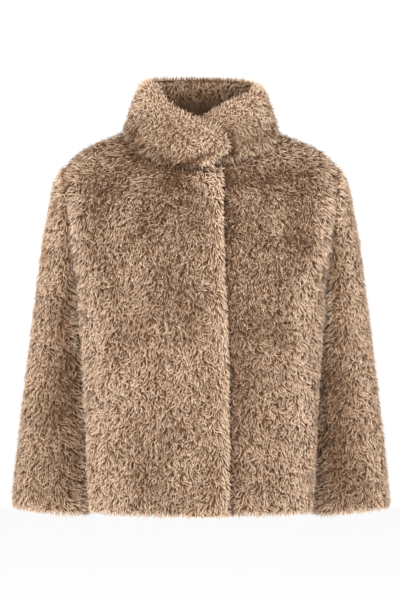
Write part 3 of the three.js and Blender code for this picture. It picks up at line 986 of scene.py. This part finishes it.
# Painted light over the armhole seams at the sleeve heads.
SLEEVE_HEADS = [(1.0, 0.22, -0.08, 0.022, 0.045), (0.2, -0.22, -0.08, 0.016, 0.035)]


def spots(points, places):
    """The painted light and shade of a list of places, added up."""
    return sum(strength * spot(points, *place) for strength, *place in places)


def front_tone(node, points, normals):
    """Painted shade on the chest, below the collar and beside the closing, and painted light at the
    edges.
    """
    x, y, z = points.T
    low = ramp(z, -0.25, -0.4)
    # Painted light along the sides of the body, which round away from the lamp, and on the lower front.
    tone = np.where(x > 0, 0.95, 0.75) * ramp(np.abs(normals[:, 0]), 0.3, 0.65) * ramp(z, -0.09, -0.14)
    tone += 0.08 * low + spots(points, BOTH_FRONTS)
    below = np.clip(neck_height(points) - z, 0, None)
    # Painted shadow under the collar, on the part of the front that faces forward.
    forward_part = ramp(y, -0.05, -0.09)
    if node == "front_right":
        # Painted light on the top corner in the shade of the collar's lap, and a painted highlight along
        # the free edge.
        corner = spot(points, 0.016, -0.058, 0.02, 0.036)
        tone += 0.8 * corner - 0.6 * forward_part * (1 - corner) * np.exp(-below / (15 * MM))
        tone += 0.45 * rim(points) + spots(points, RIGHT_FRONT)
    else:
        # Painted shade below the collar and beside the closing, where the right front laps over.
        past = np.clip(beyond_edge(points), 0, None)
        tone -= 0.35 * forward_part * bell(below, 22 * MM, 9 * MM) + 0.36 * np.exp(-past / (24 * MM))
        tone += spots(points, LEFT_FRONT) - 0.07 * low
    return tone


def sleeve_tone(points, normals):
    """Painted light along the outer side of the arm, painted shade towards the body, and painted light
    again deep beside it.
    """
    x, y, z = points.T
    outward = normals[:, 0] * np.sign(x)
    outer = np.where(x > 0, 1.1, 0.5) * np.clip(outward * 1.9 - 0.75, 0, 1)
    inner = np.where(x > 0, 0.3, 0.2) * bell(outward, -0.4, 0.35)
    glow = np.where(x > 0, 0.9, 0.6) * ramp(-outward, 0.5, 0.9) * ramp(y, 30 * MM, 10 * MM)
    return 0.03 + outer + spots(points, SLEEVE_HEADS) + ramp(z, -0.15, -0.23) * (glow - inner)


def painted_light_and_shade(node, points, normals):
    """The part of a strand's tone that comes from its place on the coat: painted light and shade."""
    if node == "collar":
        return collar_tone(points, normals)
    # Painted highlight along the hem and the cuffs.
    hem_highlight = 0.42 * bell(points[:, 2], HEM, EDGE_BAND)
    if node.startswith("sleeve"):
        return hem_highlight + sleeve_tone(points, normals)
    if node == "back":
        return hem_highlight
    return hem_highlight + front_tone(node, points, normals)


# %% [markdown]
# ## Combing the pile
#
# A maker combs the pile over each seam to hide it, and brushes the edges out. The same is done here:
# each kind of panel has its own way to change where its strands lie, how long they reach and how
# calm they are. Calm strands curl less.

# %% Comb each kind of panel
FACING_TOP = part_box("neck_lining")[1][2]
ARMHOLE_X = 0.18
ARM_PIT_Z = -0.2
FALL_ASIDE = 7
FALL_FORWARD = 3
SEAM_FADE = 2.5 * MM


def downward(points):
    """The lie of the pile: down, and outwards from the neck over the shoulders."""
    ways = np.zeros_like(points)
    ways[:, 2] = -1
    high = ramp(points[:, 2], -0.14, -0.04)
    ways[:, 0] = points[:, 0] * FALL_ASIDE * high
    ways[:, 1] = points[:, 1] * FALL_FORWARD * high
    return ways


def collar_lie(points, normals, random):
    """Down on both sides and outwards at the foot; on the crest up in front, and over it behind."""
    ways = np.zeros_like(points)
    chance = random.normal(scale=0.28, size=len(points))
    crest = ramp(normals[:, 2] + chance, 0.5, 0.8)
    inner = np.clip(0.6 + 1.5 * inwardness(points, normals), 0, 1)
    fold = crest * inner * ramp(points[:, 1], 0, 30 * MM)
    ways[:, 2] = (2 * crest - 1) * (1 - fold) + 0.35 * fold
    spread = (2 + 6 * collar_foot(points) - 1.5 * crest) * (1 - fold) - 10 * fold
    ways[:, :2] = points[:, :2] * spread[:, None]
    return ways


def near_seam(depth):
    """1 where the wall is thin, as it is beside a seam, and 0 where it has its full depth."""
    full = 0.95 * PILE_DEPTH
    return ramp(depth, full, full - SEAM_FADE)


def comb_collar(strands, random):
    """Longer over the seam of the collar, out at the end of the upper lap, and over the facing behind."""
    points, normals = strands.points, strands.normals
    x, y, _ = points.T
    in_front = y < COLLAR_FRONT_Y
    end = over_lap(points) * bell(past_line(points, LAP_EDGE), 0, 7 * MM) * (normals[:, 0] > 0.3)
    end *= in_front * (x > 0)
    strands.lie = collar_lie(points, normals, random) + 0.6 * normals * end[:, None]
    more = np.where((x > 0.01) & in_front, 1.5, 0.8)
    more = np.maximum(more, 1.6 * (np.abs(x) > COLLAR_SIDE_X) * (y < COLLAR_BACK_Y))
    more = np.maximum(more, 2.2 * spot(points, 0.045, -0.035, 0.014, 0.02) * in_front)
    strands.reach += 0.6 * end + more * collar_foot(points)
    over = spot(points, 0, FACING_TOP + 7 * MM, 0.06, 0.009) * np.clip(inwardness(points, normals), 0, 1)
    strands.reach += 1.3 * over * (y > 0.02) * random.uniform(0.3, 1, len(points))


def comb_trunk(strands, node):
    """Across the shoulder seam, out at the sides and the free edge, and longer round the armhole."""
    points, normals, lie = strands.points, strands.normals, strands.lie
    x, y, z = points.T
    shoulder = bell(y, 0, 8 * MM) * (z > SHOULDER_Z)
    lie[:, 1] += (-1.4 if node == "back" else 1.4) * shoulder
    if node == "front_right":
        strands.calm = rim(points)
        lie[:, 0] += 0.45 * strands.calm
        corner = spot(points, 0.018, -0.052, 0.016, 0.012) * (y < 0)
        lie += (1.6 * np.array((0, 0, 1)) + 0.4 * normals) * corner[:, None]
        strands.reach += 0.4 * corner
    beside = ramp(np.abs(x), ARMHOLE_X, ARMHOLE_X + 20 * MM) * (z < -0.1)
    lie[:, 0] += beside * np.where(x > 0, 0.6, -0.25)
    strands.calm = np.maximum(strands.calm, 0.7 * beside)
    strands.reach += beside * np.where(x > 0, 0.5, 0.25)
    armhole = ramp(np.abs(x), ARMHOLE_X, ARMHOLE_X + 10 * MM) * (z > SHOULDER_Z)
    strands.reach = np.maximum(strands.reach, 1.25 * armhole)


def comb_sleeve(strands):
    """Towards the body on the inner side of the arm, and over the armhole seam at the sleeve's head."""
    x, _, z = strands.points.T
    side = np.sign(x)
    inward = np.clip(-strands.normals[:, 0] * side * 1.5, 0, 1) * (z < ARM_PIT_Z)
    head = near_seam(strands.depth) * (z > ARM_PIT_Z)
    strands.lie[:, 0] -= (0.9 * inward + 1.6 * head) * side
    strands.reach += 0.3 * inward + 0.5 * head


def straighten(strands, core):
    """Near seams the pile grows straight out from the coat, whatever way the rounded wall faces."""
    above_hem = ramp(strands.points[:, 2], HEM + 35 * MM, HEM + 50 * MM)
    share = 0.8 * near_seam(strands.depth) * above_hem
    way = way_out_from(core, strands.points)
    mixed = strands.normals + (way - strands.normals) * share[:, None]
    strands.normals = mixed / np.linalg.norm(mixed, axis=1)[:, None]


# %% [markdown]
# ## One furred panel
#
# Everything above comes together: sown points, clumps, tone with its painted light and shade,
# combing and growth. Each strand is dyed a little differently from its neighbours, each clump a very
# little, and broad patches more slowly still, as on a real bolt of faux fur.

# %% Furred panel
OWN_TONE = 0.55
EVEN_PILE = 0.18
UNEVEN_PILE = 0.25
LEAST_DEPTH = 2.2 * MM
HANGING_DEPTH = 5 * MM
FULL_REACH = 5 * MM
LEAST_REACH = 0.75


class Strands:
    """The strands of one panel before they grow, with one row in each array for each strand."""

    def __init__(self, node, wall, spacing, random):
        self.points, self.normals = sow(wall.piece, wall.sown, spacing, random)
        self.count = len(self.points)
        _, _, gap, depth = wall.look_up(self.points)
        self.depth = np.maximum(depth - gap, LEAST_DEPTH)
        if node == "collar":
            hanging = (self.normals[:, 2] < -0.25) & (self.points[:, 1] < 20 * MM)
            self.depth[hanging] = np.maximum(self.depth[hanging], HANGING_DEPTH)
        self.clump, self.middles = gather(self.points, spacing, random)
        self.lie = downward(self.points)
        self.calm = np.zeros(self.count)
        self.reach = np.clip(self.depth / FULL_REACH, LEAST_REACH, 1)
        self.tone = self.dye_and_painted_light(node, random)

    def dye_and_painted_light(self, node, random):
        """The tone of each strand: its clump, its own chance and broad patches as dye, and painted light
        and shade from its place.
        """
        uneven = EVEN_PILE if node == "collar" or node.startswith("sleeve") else UNEVEN_PILE
        shared = OWN_TONE + random.normal(scale=0.04, size=len(self.middles))
        chance = shared[self.clump] + random.normal(scale=uneven, size=self.count)
        patches = 0.13 * waves(self.points, 0.11, random) + 0.04 * waves(self.points, 0.04, random)
        return chance + patches + painted_light_and_shade(node, self.points, self.normals)


def fur(node, core, wall, finish, spacing, seed):
    """The open pile of one panel, on the outer side of its cloth, or on both sides of it."""
    random = np.random.default_rng(seed)
    strands = Strands(node, wall, spacing, random)
    if node == "collar":
        comb_collar(strands, random)
    elif node.startswith("sleeve"):
        comb_sleeve(strands)
    else:
        comb_trunk(strands, node)
    if node != "collar":
        straighten(strands, core)
    pile = grow(node + "_pile", strands, random)
    pile.data.materials.append(finish)
    print(node, "has", strands.count, "strands in", len(strands.middles), "clumps")
    return pile


# %% [markdown]
# ## The panels
#
# The fronts, the back, the sleeves and the collar are made in turn. The back is seen least and is
# sown a little more thinly.

# %% Make the panels
PANELS = {
    "front_right": {"core": trunk_core, "slot": "body_pile", "spacing": 2.55 * MM, "seed": 11},
    "front_left": {"core": trunk_core, "slot": "body_pile", "spacing": 2.55 * MM, "seed": 12},
    "back": {"core": trunk_core, "slot": "body_pile", "spacing": 2.95 * MM, "seed": 13},
    "sleeve_right": {"core": arm_core, "slot": "sleeve_pile", "spacing": 2.65 * MM, "seed": 14},
    "sleeve_left": {"core": arm_core, "slot": "sleeve_pile", "spacing": 2.65 * MM, "seed": 15},
    "collar": {"core": neck_core, "slot": "collar_pile", "spacing": 2.55 * MM, "seed": 16},
}

for node, panel in PANELS.items():
    both = node == "collar"
    wall = Wall(node, panel["core"], both)
    cloth = make_cloth(node, panel["core"], wall, both)
    finish = pile_finishes[panel["slot"]]
    pile = fur(node, panel["core"], wall, finish, panel["spacing"], panel["seed"])
    bpy.data.objects.remove(wall.piece)
    for piece in (cloth, pile):
        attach(piece, "root")
        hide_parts(node)

# %% [markdown]
# ## The facing inside the collar
#
# The facing is sewn in flat and smooth. The solid already has its shape, so it is copied, joined
# into squares and rounded off by subdivision.

# %% Neck facing
facing = copy_wall("neck_lining", "neck_facing")
apply_modifier(facing, "SUBSURF", levels=2, render_levels=2)
bpy.ops.object.shade_smooth()
facing.data.materials.append(neck_satin)
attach(facing, "root")
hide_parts("neck_lining")
print("facing has", len(facing.data.polygons), "faces")
